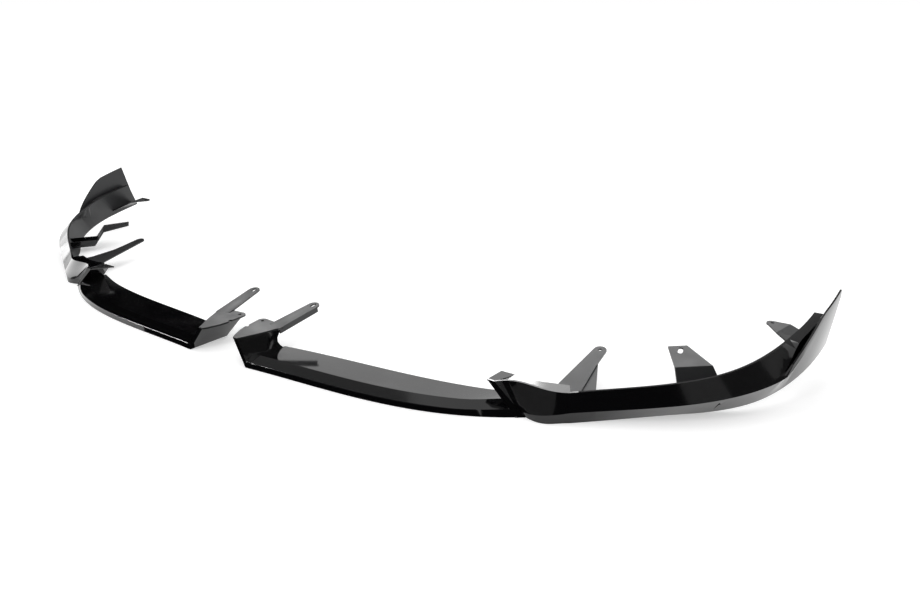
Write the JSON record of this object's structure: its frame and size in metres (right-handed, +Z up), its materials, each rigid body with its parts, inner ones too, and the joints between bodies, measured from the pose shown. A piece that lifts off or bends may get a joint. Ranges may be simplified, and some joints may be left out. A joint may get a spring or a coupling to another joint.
{
  "type": "front splitter lip",
  "caption": "Front splitter lip set in gloss black: sweeping inner lips with centre fins and arms, and upswept corner lips with a side blade and mounting brackets.",
  "frame": {"origin": "middle of the set's footprint, on the ground plane that the lower edge lies in", "axes": "+X across the car towards the right-hand corner piece, +Y towards the rear of the car, +Z up"},
  "size_m": [1.86, 0.5351, 0.15],
  "materials": {
    "gloss_black": "moulded ABS with a piano black gloss"
  },
  "bodies": {
    "root": {"inner_lip_right": "gloss_black", "inner_lip_left": "gloss_black", "corner_lip_right": "gloss_black", "corner_lip_left": "gloss_black"}
  },
  "joints": []
}
